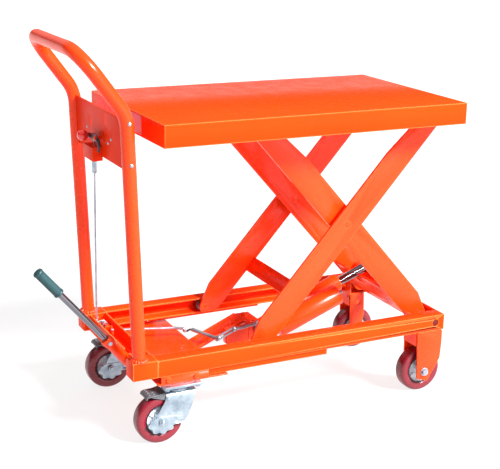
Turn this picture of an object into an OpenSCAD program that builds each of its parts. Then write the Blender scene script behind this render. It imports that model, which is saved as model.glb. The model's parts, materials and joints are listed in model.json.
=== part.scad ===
// Scissor lift table: a wheeled base with a push handle, crossed arms, a foot pump and a flat table.
// X runs from the push handle to the fixed wheels, Y runs across, Z is up, and the floor is Z = 0.

/* [Table] */
// Length of the table
table_len = 845; // [840:1:855]
// Width of the table
table_w = 520; // [510:1:530]
// Height of the folded edge of the table
table_edge_h = 55; // [50:1:58]
// Thickness of the table sheet
table_sheet = 3; // [2.5:0.5:3.5]

/* [Scissor arms] */
// Distance from the centre pin to either end pin of an arm
arm_half = 400; // [398:1:402]
// Slope of the arms with the table raised, in degrees
raised_angle = 48.4; // [47:0.1:49]
// Width of an arm across its middle
arm_w = 70; // [66:1:72]
// Thickness of an arm
arm_t = 8; // [7:0.5:8]
// Distance of the inner arms' outer faces from the centre plane
inner_arm_y = 141; // [140:1:142]
// Distance of the outer arms' outer faces from the centre plane
outer_arm_y = 165; // [164:1:166]

/* [Base] */
// Height of the underside of the side rails
rail_z = 181; // [180:1:184]
// Height of a side rail
rail_h = 44; // [44:1:46]
// Width of a side rail's flanges
rail_w = 40; // [38:1:41]
// Sheet thickness of the side rails
rail_t = 4; // [3.5:0.5:4]
// Half of the width over both side rails
base_half_w = 214; // [212:1:216]
// Length of the side rails
rail_len = 850; // [848:1:855]

/* [Wheels] */
// Diameter of all four wheels
wheel_d = 125; // [122:1:125]
// Width of a wheel over its tyre
wheel_w = 38; // [34:1:38]
// Distance of the fixed wheels from the handle end of the table
front_wheel_x = 794; // [790:1:797]
// Distance of the fixed wheels from the centre plane
front_wheel_y = 178; // [177:1:179]
// Distance of the swivel axes from the handle end of the table
caster_x = 58; // [55:1:60]
// Distance of the swivel axes from the centre plane
caster_y = 190; // [188:1:191]
// Distance of a caster's axle behind its swivel axis
caster_trail = 50; // [46:1:50]

/* [Push handle] */
// Diameter of the handle tube
tube_d = 34; // [32:1:34]
// Distance of the handle legs from the centre plane
leg_y = 195; // [194:1:196]
// Lean of the handle legs, in degrees
leg_lean = 2.3; // [2:0.1:2.6]
// Angle through which the upper handle bends back, in degrees
leg_bend = 34.2; // [32:0.1:36]

/* [Foot pump] */
// Length of the foot lever from its pin to its tip
lever_len = 358; // [350:1:362]
// Slope of the foot lever at rest, in degrees
lever_angle = 49.5; // [48:0.5:51]

/* [Hidden] */
$fn = 64;
PAINT = "orangered";
ZINC = "lightsteelblue";
CHROME = "silver";
STEEL = "dimgray";
TYRE = "crimson";

// The model is laid out from the table's handle end, then moved so that X = 0 is its middle.
middle_x = 290;

pin_gap = 0.05;
foot_gap = 0.75;
joint_gap = 0.02;
slip = 0.3;

axle_z = wheel_d / 2;
pivot_x = 822;
pivot_z = rail_z + rail_h / 2;
arm_len = 2 * arm_half;
arm_rise = arm_len * sin(raised_angle);
arm_reach = arm_len * cos(raised_angle);
arm_end_r = 16;
roller_x = pivot_x - arm_reach;
top_pin_z = pivot_z + arm_rise;
table_top_z = top_pin_z + 21.3;
table_under_z = table_top_z - table_sheet;
end_pin_r = 10;
centre_pin_r = 11;
roller_pin_r = 8;
roller_r = 17.5;
top_roller_r = 16;

beam_x0 = -50;
beam_x1 = -2;
block_x0 = -66;
block_y0 = 165;
beam_top_z = 227;
deck_z = 158;
deck_t = 4;
deck_x1 = 190;

leg_x = -43;
leg_len = 610.1;
bend_r = 100;
bend_run = bend_r * tan(leg_bend / 2);
corner_r = 73;
upper_len = 189.7;
plate_z0 = 703;
plate_z1 = 827.5;

ram_y = 27;
tank_y = -33;
ram_pin_x = 395;
ram_pin_z = 176.6;
lug_along = 120.3;
lug_off = 39.9;
cross_along = 75;
cross_off = 5;
rod_pin_r = 6;
ram_len = 403.2;
ram_angle = 20.76;
ram_rod_r = 13.5;

pedal_x = -33;
pedal_z = 122;

lever_y = -120;
lever_pin_x = -38;
lever_pin_z = 191;
lever_pin_r = 5;
plunger_z = 175;

release_y = 20;
release_pin_y = -22;
release_up = 528;
crank_x = -21;
crank_z = 210;
crank_arm = 18;
crank_drop = 14;
rod_y = 138;
tie_y = 112;
rod_top = [-75, release_y, crank_z + 535];
rod_foot = [crank_x - crank_arm, rod_y, crank_z];

// ---------- shared shapes ----------

// Direction of the outward normal along the straight edge from one corner circle to the next
function edge_normal(a, b) =
  let (run = [b[0] - a[0], b[1] - a[1]])
  atan2(run[1], run[0]) - 90 + asin((a[2] - b[2]) / norm(run));

// Outline that wraps a ring of corner circles [x, y, radius], listed anticlockwise
function wrap_outline(c, steps = 12) =
  let (m = len(c))
  [for (i = [0:m - 1])
    let (first = edge_normal(c[(i + m - 1) % m], c[i]))
    let (last = edge_normal(c[i], c[(i + 1) % m]))
    let (turn = ((last - first) % 360 + 360) % 360)
    for (k = [0:steps])
      let (a = first + turn * k / steps)
      [c[i][0] + c[i][2] * cos(a), c[i][1] + c[i][2] * sin(a)]];

// Plate in the XZ plane between two Y values
module side_plate(corners, y0, y1, steps = 12) {
  translate([0, y1, 0])
    rotate([90, 0, 0])
      linear_extrude(y1 - y0)
        polygon(wrap_outline(corners, steps));
}

// Cylinder along Y between two Y values
module cross_pin(x, z, r, y0, y1) {
  translate([x, y1, z])
    rotate([90, 0, 0])
      cylinder(r = r, h = y1 - y0);
}

// Box between two corners
module block(a, b) {
  translate(a)
    cube([b[0] - a[0], b[1] - a[1], b[2] - a[2]]);
}

// Far side is drawn as it is, and near side is its mirror image
module on_side(side) {
  mirror([0, side < 0 ? 1 : 0, 0])
    children();
}

// Moves the layout frame to the object frame
module place() {
  translate([-middle_x, 0, 0])
    children();
}

// Hexagon head with a washer, standing on its face along +Z
module hex_head(size, h) {
  cylinder(r = size * 0.72, h = 1.2);
  translate([0, 0, 1.2])
    cylinder(r = size / 2 / cos(30), h = h, $fn = 6);
}

// ---------- base ----------

module base_rail(side) {
  color(PAINT) place() on_side(side) {
    difference() {
      block([0, base_half_w - rail_w, rail_z], [rail_len, base_half_w, rail_z + rail_h]);
      block([-1, base_half_w - rail_w - 1, rail_z + rail_t],
            [rail_len + 1, base_half_w - rail_t, rail_z + rail_h - rail_t]);
      cross_pin(pivot_x, pivot_z, end_pin_r + pin_gap, base_half_w - 20, base_half_w + 1);
    }
    block([deck_x1 - 54, base_half_w - 10, rail_z - 17], [482, base_half_w - 6, rail_z]);
  }
}
module base_rail_near() base_rail(-1);
module base_rail_far() base_rail(1);

module handle_crossbeam() {
  wall = 4;
  slot_w = 34;
  color(PAINT) place() {
    difference() {
      block([beam_x0, -block_y0, rail_z], [beam_x1, block_y0, beam_top_z]);
      block([beam_x0 + wall, -block_y0 - 1, rail_z + wall],
            [beam_x1 - wall, block_y0 + 1, beam_top_z + 1]);
      block([beam_x0 - 1, lever_y - slot_w / 2, rail_z - 1],
            [beam_x0 + wall + 1, lever_y + slot_w / 2, beam_top_z + 1]);
      block([beam_x0 - 1, lever_y - slot_w / 2, rail_z - 1],
            [beam_x1 + 1, lever_y + slot_w / 2, rail_z + wall + 3]);
      block([beam_x1 - wall - 1, tie_y - 18, rail_z + wall + 2],
            [beam_x1 + 1, tie_y + 5, rail_z + wall + 22]);
    }
    for (side = [-1, 1])
      on_side(side)
        difference() {
          block([block_x0, block_y0, rail_z], [0, base_half_w, beam_top_z]);
          block([block_x0 + wall, block_y0 + wall, rail_z - 1],
                [-wall, base_half_w - wall, beam_top_z - wall]);
        }
  }
}

module deck_pan() {
  side_x0 = 9;
  side_x1 = 136;
  lip = 3;
  color(PAINT) place() {
    difference() {
      block([0, -base_half_w, deck_z], [deck_x1, base_half_w, deck_z + deck_t]);
      for (side = [-1, 1])
        translate([caster_x, side * caster_y, deck_z - 1])
          cylinder(r = 9, h = deck_t + 2);
    }
    for (side = [-1, 1])
      on_side(side)
        block([side_x0, base_half_w - 4, deck_z + deck_t], [side_x1, base_half_w, rail_z]);
    block([deck_x1 - lip, -160, deck_z - 12], [deck_x1, 160, deck_z]);
    block([beam_x1 - 4, -95, deck_z], [1, 150, rail_z]);
  }
}

module front_crossbeam() {
  color(PAINT) place() {
    block([rail_len - 5, -base_half_w + rail_t, rail_z + rail_t],
          [rail_len, base_half_w - rail_t, rail_z + rail_h - rail_t]);
    block([rail_len - 5, -base_half_w + rail_w, rail_z],
          [rail_len, base_half_w - rail_w, rail_z + rail_t]);
    block([rail_len - 5, -base_half_w + rail_w, rail_z + rail_h - rail_t],
          [rail_len, base_half_w - rail_w, rail_z + rail_h]);
    block([rail_len - 26, -base_half_w + rail_w, rail_z], [rail_len - 5, base_half_w - rail_w, rail_z + 3]);
  }
}

// Outer leg outline around the fixed wheel's axle, in X and Z
outer_leg = [
  [front_wheel_x - 18, 47, 4], [front_wheel_x + 10, 39, 4], [833, 100, 10], [840, 140, 6],
  [840, 175, 6], [770, 177, 4]
];
inner_leg = [
  [front_wheel_x - 22, 47, 4], [front_wheel_x + 8, 43, 4], [808, 120, 6], [808, 176, 4],
  [770, 177, 4]
];

module wheel_bracket(side) {
  color(PAINT) place() on_side(side) {
    difference() {
      union() {
        side_plate(outer_leg, base_half_w - 6, base_half_w);
        side_plate(inner_leg, 146, 151);
        block([762, 151, 142], [766, base_half_w - 6, rail_z]);
        block([766, 151, rail_z - 4], [842, base_half_w - 6, rail_z]);
        block([762, 146, rail_z - 4], [766, 151, rail_z]);
        block([762, 146, rail_z], [766, base_half_w - rail_w, rail_z + rail_h]);
      }
      for (z = [164, 196])
        block([760, 154, z], [768, 160, z + 12]);
      cross_pin(front_wheel_x, axle_z, 6 + pin_gap, 100, 300);
      cross_pin(792, 150, 8, 140, 155);
    }
  }
}
module wheel_bracket_near() wheel_bracket(-1);
module wheel_bracket_far() wheel_bracket(1);

module axle_bolt() {
  cross_pin(front_wheel_x, axle_z, 6, 136, base_half_w);
  translate([front_wheel_x, base_half_w, axle_z])
    rotate([-90, 0, 0])
      hex_head(17, 7);
  translate([front_wheel_x, 146, axle_z])
    rotate([90, 0, 0])
      hex_head(17, 9);
}

module base_pivot_shaft() {
  color(STEEL) place()
    cross_pin(pivot_x, pivot_z, end_pin_r, -base_half_w + 2, base_half_w - 2);
}

// ---------- push handle ----------

// One half of the handle tube, from its foot to the middle of the top tube
module handle_half(r, side) {
  translate([leg_x, side * leg_y, beam_top_z])
    rotate([0, -leg_lean, 0]) {
      translate([0, 0, foot_gap])
        cylinder(r = r, h = leg_len - bend_run - foot_gap - joint_gap);
      translate([-bend_r, 0, leg_len - bend_run]) {
        rotate([90, 0, 0])
          rotate_extrude(angle = leg_bend)
            translate([bend_r, 0])
              circle(r = r);
        rotate([0, -leg_bend, 0])
          translate([bend_r, 0, 0])
            handle_upper(r, side);
      }
    }
}

module handle_upper(r, side) {
  straight = upper_len - bend_run - corner_r;
  translate([0, 0, joint_gap])
    cylinder(r = r, h = straight - 2 * joint_gap);
  translate([0, -side * corner_r, straight]) {
    rotate([90, 0, 90])
      rotate([0, 0, side > 0 ? 0 : 90])
        rotate_extrude(angle = 90)
          translate([corner_r, 0])
            circle(r = r);
    translate([0, side > 0 ? -joint_gap : leg_y - corner_r - joint_gap, corner_r])
      rotate([90, 0, 0])
        cylinder(r = r, h = leg_y - corner_r - 2 * joint_gap);
  }
}

module handle_tube(side) {
  color(PAINT) place()
    handle_half(tube_d / 2, side);
}
module handle_tube_near() handle_tube(-1);
module handle_tube_far() handle_tube(1);

// Puts children into the leaning plane of the handle legs, with Z = 0 at the feet
module in_leg_plane() {
  translate([leg_x, 0, beam_top_z])
    rotate([0, -leg_lean, 0])
      children();
}

module handle_plate() {
  reach = leg_y - tube_d / 2 - 0.05;
  z0 = plate_z0 - beam_top_z;
  z1 = plate_z1 - beam_top_z;
  color(PAINT) place() in_leg_plane()
    difference() {
      block([-2, -reach, z0], [2, reach, z1]);
      for (mark = [[-42, z1 - 23], [68, z1 - 46]])
        block([-3, mark[0] - 2.5, mark[1] - 13], [3, mark[0] + 2.5, mark[1] + 13]);
    }
}

// ---------- casters ----------

module caster_mount(side) {
  color(ZINC) place() on_side(side)
    translate([caster_x, caster_y, 0]) {
      difference() {
        block([-48, -42, deck_z - 6], [54, 42, deck_z]);
        translate([0, 0, deck_z - 7])
          cylinder(r = 8 + pin_gap, h = 8);
      }
      difference() {
        translate([0, 0, deck_z - 14])
          cylinder(r = 30, h = 8);
        translate([0, 0, deck_z - 15])
          cylinder(r = 8 + pin_gap, h = 10);
      }
    }
}
module caster_mount_near() caster_mount(-1);
module caster_mount_far() caster_mount(1);

fork_leg = [
  [-caster_trail, axle_z, 17], [8, 62, 9], [40, 129, 6], [-26, 129, 6],
  [-caster_trail - 6, 92, 6]
];

module caster_fork(side) {
  fork_in = wheel_w / 2 + 5;
  fork_t = 4;
  crown_z = deck_z - 24;
  color(ZINC) place() on_side(side)
    translate([caster_x, caster_y, 0]) {
      difference() {
        union() {
          side_plate(fork_leg, fork_in, fork_in + fork_t);
          side_plate(fork_leg, -fork_in - fork_t, -fork_in);
          block([-32, -fork_in - fork_t, crown_z - 3], [44, fork_in + fork_t, crown_z + 2]);
          translate([0, 0, crown_z + 2])
            cylinder(r = 27, h = 7.5);
          translate([0, 0, crown_z])
            cylinder(r = 8, h = 26);
          side_plate([[-caster_trail, axle_z, 42], [-caster_trail + 3, axle_z, 42]],
                     fork_in + fork_t, fork_in + fork_t + 2, 40);
          block([-12, fork_in + fork_t, 46], [40, fork_in + fork_t + 2, 60]);
        }
        cross_pin(-caster_trail, axle_z, 6 + pin_gap, -60, 60);
      }
      cross_pin(-caster_trail, axle_z, 6, -34, 34);
      for (y = [-fork_in - 1, 20])
        cross_pin(pedal_x, pedal_z, 3, y, y + 5);
      translate([-caster_trail, fork_in + fork_t + 2, axle_z])
        rotate([-90, 0, 0])
          hex_head(17, 6);
      translate([-caster_trail, -fork_in - fork_t, axle_z])
        rotate([90, 0, 0])
          hex_head(17, 6);
    }
}
module caster_fork_near() caster_fork(-1);
module caster_fork_far() caster_fork(1);

// Brake pedal: a sloping tread on two cheeks that hinge above the wheel
module brake_pedal(side) {
  color("black") place() on_side(side)
    translate([caster_x, caster_y, 0]) {
      side_plate([[-84, 131, 2.5], [-42, 136, 3], [-42, 138, 3], [-85, 136, 2.5]], -26, 26, 8);
      for (y = [-23, 20])
        difference() {
          side_plate([[pedal_x, pedal_z, 6], [-44, 136, 4], [-70, 131, 3]], y, y + 3, 6);
          cross_pin(pedal_x, pedal_z, 3 + pin_gap, y - 1, y + 4);
        }
    }
}
module brake_pedal_near() brake_pedal(-1);
module brake_pedal_far() brake_pedal(1);

// Tyre section: a crowned tread on a flat band, turned around the axle
module tyre(x, y) {
  rim_r = 41;
  crown = 5;
  translate([x, y, axle_z])
    rotate([90, 0, 0])
      rotate_extrude($fn = 96)
        polygon([
          [rim_r, -wheel_w / 2], [wheel_d / 2 - crown, -wheel_w / 2],
          [wheel_d / 2 - 1.2, -wheel_w / 2 + 4], [wheel_d / 2, -wheel_w / 2 + 11],
          [wheel_d / 2, wheel_w / 2 - 11], [wheel_d / 2 - 1.2, wheel_w / 2 - 4],
          [wheel_d / 2 - crown, wheel_w / 2], [rim_r, wheel_w / 2]
        ]);
}

// Hub: rim, web and boss around the axle
module hub(x, y) {
  translate([x, y, axle_z])
    rotate([90, 0, 0])
      rotate_extrude($fn = 96)
        polygon([
          [6 + pin_gap, -wheel_w / 2 - 3], [15, -wheel_w / 2 - 3], [17, -8], [34, -5],
          [37, -wheel_w / 2 + 2], [41, -wheel_w / 2 + 2], [41, wheel_w / 2 - 2],
          [37, wheel_w / 2 - 2], [34, 5], [17, 8], [15, wheel_w / 2 + 3],
          [6 + pin_gap, wheel_w / 2 + 3]
        ]);
}

module caster_tyre_near() color(TYRE) place() tyre(caster_x - caster_trail, -caster_y);
module caster_tyre_far() color(TYRE) place() tyre(caster_x - caster_trail, caster_y);
module caster_hub_near() color("white") place() hub(caster_x - caster_trail, -caster_y);
module caster_hub_far() color("white") place() hub(caster_x - caster_trail, caster_y);
module front_tyre_near() color(TYRE) place() tyre(front_wheel_x, -front_wheel_y);
module front_tyre_far() color(TYRE) place() tyre(front_wheel_x, front_wheel_y);
module front_hub_near() color("white") place() hub(front_wheel_x, -front_wheel_y);
module front_hub_far() color("white") place() hub(front_wheel_x, front_wheel_y);

// ---------- fasteners of the base ----------

module frame_bolts() {
  color(ZINC) place() {
    for (side = [-1, 1])
      on_side(side)
        axle_bolt();
    for (side = [-1, 1])
      for (x = [27, 102])
        on_side(side)
          translate([x, base_half_w, 171])
            rotate([-90, 0, 0])
              hex_head(13, 5.5);
    for (side = [-1, 1])
      for (x = [-38, 44], y = [-32, 32])
        translate([caster_x + x, side * caster_y + y, deck_z - 6])
          rotate([180, 0, 0])
            hex_head(13, 5.5);
    for (z = [plate_z0 + 20, plate_z1 - 6], side = [-1, 1])
      in_leg_plane()
        translate([0, side * (leg_y + tube_d / 2 + 0.02), z - beam_top_z])
          rotate([-90 * side, 0, 0])
            cylinder(r = 4.5, h = 3);
  }
}

// ---------- scissor arms ----------

arm_corners = [
  [0, 0, arm_end_r], [24, -arm_w / 2 + 2, 2], [arm_len - 24, -arm_w / 2 + 2, 2],
  [arm_len, 0, arm_end_r], [arm_len - 188, arm_w / 2 - 6, 6], [60, arm_w / 2 - 6, 6]
];

// Places children so that X runs up an inner arm from its lower pin
module along_inner() {
  translate([pivot_x, 0, pivot_z])
    rotate([0, raised_angle, 0])
      mirror([1, 0, 0])
        children();
}

// Places children so that X runs up an outer arm from its lower roller pin
module along_outer() {
  translate([roller_x, 0, pivot_z])
    rotate([0, -raised_angle, 0])
      children();
}

module arm_blank(y_out, low_r, high_r) {
  difference() {
    side_plate(arm_corners, y_out - arm_t, y_out, 16);
    cross_pin(0, 0, low_r, y_out - arm_t - 1, y_out + 1);
    cross_pin(arm_half, 0, centre_pin_r + pin_gap, y_out - arm_t - 1, y_out + 1);
    cross_pin(arm_len, 0, high_r, y_out - arm_t - 1, y_out + 1);
  }
}

module inner_arm(side) {
  color(PAINT) place() on_side(side) along_inner()
    arm_blank(inner_arm_y, end_pin_r + pin_gap, roller_pin_r + pin_gap);
}
module inner_arm_near() inner_arm(-1);
module inner_arm_far() inner_arm(1);

module outer_arm(side) {
  color(PAINT) place() on_side(side) along_outer()
    arm_blank(outer_arm_y, roller_pin_r + pin_gap, end_pin_r + pin_gap);
}
module outer_arm_near() outer_arm(-1);
module outer_arm_far() outer_arm(1);

// Tube and slotted plate that tie the inner arms together near their lower ends
module inner_cross_members() {
  reach = inner_arm_y - arm_t;
  plate_n = -arm_w / 2 + 2;
  notch = 22;
  color(PAINT) place() along_inner() {
    difference() {
      cross_pin(cross_along, cross_off, 22, -reach, reach);
      cross_pin(cross_along, cross_off, 18, -reach - 1, reach + 1);
    }
    difference() {
      block([36, -reach, plate_n], [150, reach, plate_n + 6]);
      block([108, ram_y - notch, plate_n - 1], [151, ram_y + notch, plate_n + 7]);
      for (y = [-80, 96], along = [70, 110])
        block([along, y - 4, plate_n - 1], [along + 16, y + 4, plate_n + 7]);
    }
  }
}

lug_corners = [
  [cross_along + 5, cross_off + 26, 3], [cross_along + 32, cross_off - 4, 6],
  [lug_along, lug_off, 17], [cross_along + 18, cross_off + 36, 4]
];

module cylinder_lugs() {
  color(PAINT) place() along_inner()
    for (y = [ram_y - 23, ram_y + 15])
      difference() {
        side_plate(lug_corners, y, y + 8);
        cross_pin(cross_along, cross_off, 22, y - 1, y + 9);
        cross_pin(lug_along, lug_off, rod_pin_r, y - 1, y + 9);
      }
  color(STEEL) place() along_inner()
    cross_pin(lug_along, lug_off, rod_pin_r, ram_y - 27, ram_y + 27);
}

module inner_roller_pins() {
  color(STEEL) place() along_inner()
    for (side = [-1, 1])
      on_side(side) {
        cross_pin(arm_len, 0, roller_pin_r, inner_arm_y - arm_t + slip, 163);
      }
}

module outer_cross_plate() {
  reach = outer_arm_y - arm_t;
  color(PAINT) place() along_outer()
    block([154, -reach, -arm_w / 2], [199, reach, -arm_w / 2 + 7.5]);
}

module outer_arm_pins() {
  color(STEEL) place() along_outer()
    for (side = [-1, 1])
      on_side(side) {
        cross_pin(0, 0, roller_pin_r, outer_arm_y - arm_t + slip, 206);
        cross_pin(arm_half, 0, centre_pin_r, inner_arm_y - arm_t + slip, outer_arm_y - slip);
        cross_pin(arm_half, 0, 16, inner_arm_y + slip, outer_arm_y - arm_t);
      }
}

// Roller turned around its pin, with a shallow groove in each face
module roller(x, z, r, y0, y1) {
  mid_y = (y0 + y1) / 2;
  half = (y1 - y0) / 2;
  translate([x, mid_y, z])
    rotate([90, 0, 0])
      rotate_extrude($fn = 72)
        polygon([
          [roller_pin_r + pin_gap, -half], [r - 6, -half], [r - 5, -half + 1.5],
          [r - 3, -half + 1.5], [r - 2.5, -half], [r - 1, -half], [r, -half + 1],
          [r, half - 1], [r - 1, half], [r - 2.5, half], [r - 3, half - 1.5],
          [r - 5, half - 1.5], [r - 6, half], [roller_pin_r + pin_gap, half]
        ]);
}
module base_roller_near() color(STEEL) place() roller(roller_x, pivot_z, roller_r, -204, -180);
module base_roller_far() color(STEEL) place() roller(roller_x, pivot_z, roller_r, 180, 204);
module table_roller_near() color(STEEL) place() roller(roller_x, top_pin_z, top_roller_r, -162, -144);
module table_roller_far() color(STEEL) place() roller(roller_x, top_pin_z, top_roller_r, 144, 162);

// ---------- table ----------

module table_top() {
  inner_z = table_under_z;
  half_w = table_w / 2;
  t = table_sheet;
  color(PAINT) place()
    difference() {
      translate([0, 0, table_top_z - table_edge_h])
        linear_extrude(table_edge_h)
          polygon(wrap_outline([[3, -half_w + 3, 3], [table_len - 3, -half_w + 3, 3],
                                [table_len - 3, half_w - 3, 3], [3, half_w - 3, 3]], 6));
      block([t, -half_w + t, table_top_z - table_edge_h - 1], [table_len - t, half_w - t, inner_z]);
    }
}

module table_channels() {
  lane_x0 = 6;
  lane_x1 = 325;
  floor_z = top_pin_z - top_roller_r - slip;
  color(PAINT) place() {
    for (side = [-1, 1])
      on_side(side) {
        block([lane_x0, 144, floor_z - 3.5], [lane_x1, 170, floor_z]);
        block([lane_x0, 166.5, floor_z], [lane_x1, 170, table_under_z]);
      }
    for (x = [160, 420, 680])
      difference() {
        block([x - 25, -128, table_under_z - 10], [x + 25, 128, table_under_z]);
        block([x - 22, -129, table_under_z - 7], [x + 22, 129, table_under_z + 1]);
      }
  }
}

hanger = [
  [pivot_x - 14, top_pin_z - 10, 8], [pivot_x + 8, top_pin_z - 10, 8],
  [pivot_x + 15, table_under_z - 1, 1], [pivot_x - 21, table_under_z - 1, 1]
];

module table_pin_brackets() {
  color(PAINT) place()
    for (side = [-1, 1], y = [148, 167])
      on_side(side)
        difference() {
          side_plate(hanger, y, y + 5);
          cross_pin(pivot_x, top_pin_z, end_pin_r, y - 1, y + 6);
        }
  color(STEEL) place()
    for (side = [-1, 1])
      on_side(side)
        cross_pin(pivot_x, top_pin_z, end_pin_r, 146, 176);
}

module name_plate() {
  color("thistle") place()
    block([-0.8, -112, table_top_z - 50], [0, -26, table_top_z - 4]);
}

// ---------- hydraulics ----------

module pump_support() {
  run = 136;
  color(PAINT) place()
    translate([deck_x1 + 2.5, 0, deck_z - 4])
      rotate([0, -23.2, 0])
        difference() {
          block([0, -15, -3], [run + 14, 45, 6]);
          block([4, -11, 1], [run + 15, 41, 7]);
        }
}

// Valve body with its filler cap, its low front end and the lugs for the cylinder's rear pin
module pump_block() {
  color(PAINT) place() {
    block([268, -41, 164], [333, -15.1, 204]);
    difference() {
      block([332, -44, 168], [372, 48, 214]);
      translate([352, -20, 204])
        cylinder(r = 6, h = 20);
    }
    for (y = [-3, 42])
      difference() {
        side_plate([[374, 174, 2], [ram_pin_x, ram_pin_z, 15], [374, 208, 2]], y, y + 8);
        cross_pin(ram_pin_x, ram_pin_z, 8 + pin_gap, y - 1, y + 9);
      }
    translate([350, 28, 213])
      cylinder(r = 9.5, h = 6);
    cross_pin(valve_x, valve_z, 5, -53, -44);
  }
}

// Places children so that X runs along the cylinder from its rear pin
module along_ram(y) {
  translate([ram_pin_x, y, ram_pin_z])
    rotate([0, -ram_angle, 0])
      children();
}

module cylinder_barrel() {
  barrel_r = 24;
  barrel_end = 267;
  color(PAINT) place() along_ram(ram_y) {
    difference() {
      union() {
        translate([34, 0, 0])
          rotate([0, 90, 0])
            cylinder(r = barrel_r, h = barrel_end - 34);
        block([0, -14, -12], [40, 14, 12]);
        cross_pin(0, 0, 12, -14, 14);
      }
      translate([48, 0, 0])
        rotate([0, 90, 0])
          cylinder(r = 18, h = barrel_end - 56);
      translate([60, 0, 0])
        rotate([0, 90, 0])
          cylinder(r = ram_rod_r + pin_gap, h = barrel_end);
      cross_pin(0, 0, 8 + pin_gap, -20, 20);
    }
  }
  color(STEEL) place() along_ram(ram_y)
    cross_pin(0, 0, 8, -26, 26);
}

module oil_tank() {
  tank_r = 29;
  tank_end = 232;
  color(PAINT) place() along_ram(tank_y) {
    rotate([0, 90, 0])
      translate([0, 0, 30])
        cylinder(r = tank_r, h = tank_end - 30);
    for (x = [60, 190])
      block([x, tank_r - 3, -10], [x + 25, ram_y - tank_y - 24, 10]);
  }
}

module piston_rod() {
  eye_bore = 15.5;
  rod_start = 150;
  piston_at = 141;
  color(CHROME) place() along_ram(ram_y)
    difference() {
      union() {
        translate([rod_start, 0, 0])
          rotate([0, 90, 0])
            cylinder(r = ram_rod_r, h = ram_len - rod_start - eye_bore - 3);
        cross_pin(ram_len, 0, 21, -12, 12);
        translate([piston_at, 0, 0])
          rotate([0, 90, 0])
            cylinder(r = 17.9, h = 16);
      }
      cross_pin(ram_len, 0, eye_bore, -13, 13);
    }
}

// Places children so that X runs up the foot lever from its pin
module along_lever() {
  translate([lever_pin_x, lever_y, lever_pin_z])
    rotate([0, lever_angle, 0])
      mirror([1, 0, 0])
        children();
}

module lever_socket() {
  socket_len = 100;
  color(PAINT) place() along_lever()
    difference() {
      union() {
        translate([8, 0, 0])
          rotate([0, 90, 0])
            cylinder(r = 13.5, h = socket_len - 8);
        cross_pin(0, 0, 14, -13, 13);
        side_plate([[-20, 0, 5], [0, -8, 5], [0, 8, 5]], -6, 6, 8);
      }
      translate([24, 0, 0])
        rotate([0, 90, 0])
          cylinder(r = 8, h = socket_len);
      cross_pin(0, 0, lever_pin_r + pin_gap, -20, 20);
    }
}

module lever_bar() {
  color(CHROME) place() along_lever()
    translate([24, 0, 0])
      rotate([0, 90, 0])
        cylinder(r = 8, h = lever_len - 38);
}

module lever_grip() {
  grip_len = 82;
  rib = 6;
  color("cadetblue") place() along_lever()
    difference() {
      union() {
        translate([lever_len - grip_len, 0, 0])
          rotate([0, 90, 0])
            cylinder(r = 11, h = grip_len);
        for (k = [0:12])
          translate([lever_len - grip_len + 1 + k * rib, 0, 0])
            rotate([0, 90, 0])
              cylinder(r = 12.5, h = rib / 2);
      }
      translate([lever_len - grip_len - 1, 0, 0])
        rotate([0, 90, 0])
          cylinder(r = 8, h = grip_len - 13);
    }
}

module pump_plunger() {
  color(CHROME) place()
    translate([-19.4, lever_y, plunger_z])
      rotate([0, 90, 0]) {
        cylinder(r = 6, h = 56);
        cylinder(r = 8.5, h = 4);
      }
}

// Cheeks of the foot lever, the pump body and the crank's stand
module linkage_brackets() {
  floor_z = rail_z + 4;
  color(PAINT) place() {
    for (y = [lever_y - 25, lever_y + 20])
      difference() {
        side_plate([[lever_pin_x, floor_z + 6, 6], [-14, floor_z + 3, 3], [-15, floor_z + 12, 4],
                    [lever_pin_x + 2, floor_z + 16, 6]], y, y + 5);
        cross_pin(lever_pin_x, lever_pin_z, lever_pin_r, y - 1, y + 6);
      }
    difference() {
      block([2, lever_y - 18, deck_z + deck_t], [76, lever_y + 18, plunger_z + 15]);
      translate([-1, lever_y, plunger_z])
        rotate([0, 90, 0])
          cylinder(r = 6 + pin_gap, h = 70);
    }
    for (y = [96, 142])
      difference() {
        side_plate([[crank_x - 5, floor_z + 3, 3], [crank_x + 6, floor_z + 3, 3],
                    [crank_x, crank_z, 7]], y, y + 3);
        cross_pin(crank_x, crank_z, 3, y - 1, y + 4);
      }
  }
  color(STEEL) place() {
    cross_pin(lever_pin_x, lever_pin_z, lever_pin_r, lever_y - 28, lever_y + 28);
    cross_pin(crank_x, crank_z, 3, 95, 146);
  }
}

// ---------- release linkage ----------

module release_bracket() {
  box_z = 484;
  color(PAINT) place() in_leg_plane() {
    difference() {
      block([-28, -12, box_z - 17], [-2, 60, box_z + 17]);
      block([-24, -8, box_z - 18], [-1, 56, box_z + 13]);
      translate([-10.5, release_y + 5, box_z])
        cylinder(r = 9, h = 30);
    }
    translate([-2, release_pin_y, release_up])
      rotate([0, -90, 0]) {
        cylinder(r = 12, h = 4);
        cylinder(r = 5, h = 22);
      }
  }
}

// Lever plate in the leaning plane, with its pin hole and the slot for the rod's pin
module release_lever() {
  bar_x = -21;
  color(STEEL) place() in_leg_plane()
    difference() {
      translate([bar_x, 0, 0])
        rotate([90, 0, 90])
          linear_extrude(4) {
            polygon(wrap_outline([[release_pin_y, release_up, 10],
                                  [release_y + 16, release_up - 2, 6]], 16));
            polygon(wrap_outline([[release_pin_y + 3, release_up - 19, 4],
                                  [release_pin_y + 6, release_up, 4],
                                  [release_pin_y - 6, release_up, 4]], 10));
          }
      translate([bar_x - 1, release_pin_y, release_up])
        rotate([0, 90, 0])
          cylinder(r = 5 + pin_gap, h = 10);
      translate([bar_x - 1, release_y, release_up])
        rotate([0, 90, 0])
          cylinder(r = 4, h = 10);
    }
}

module release_knob() {
  color("red") place() in_leg_plane()
    translate([-35, release_y + 16, release_up - 2]) {
      sphere(r = 14);
      rotate([0, 90, 0])
        cylinder(r = 4, h = 14);
    }
}

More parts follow.
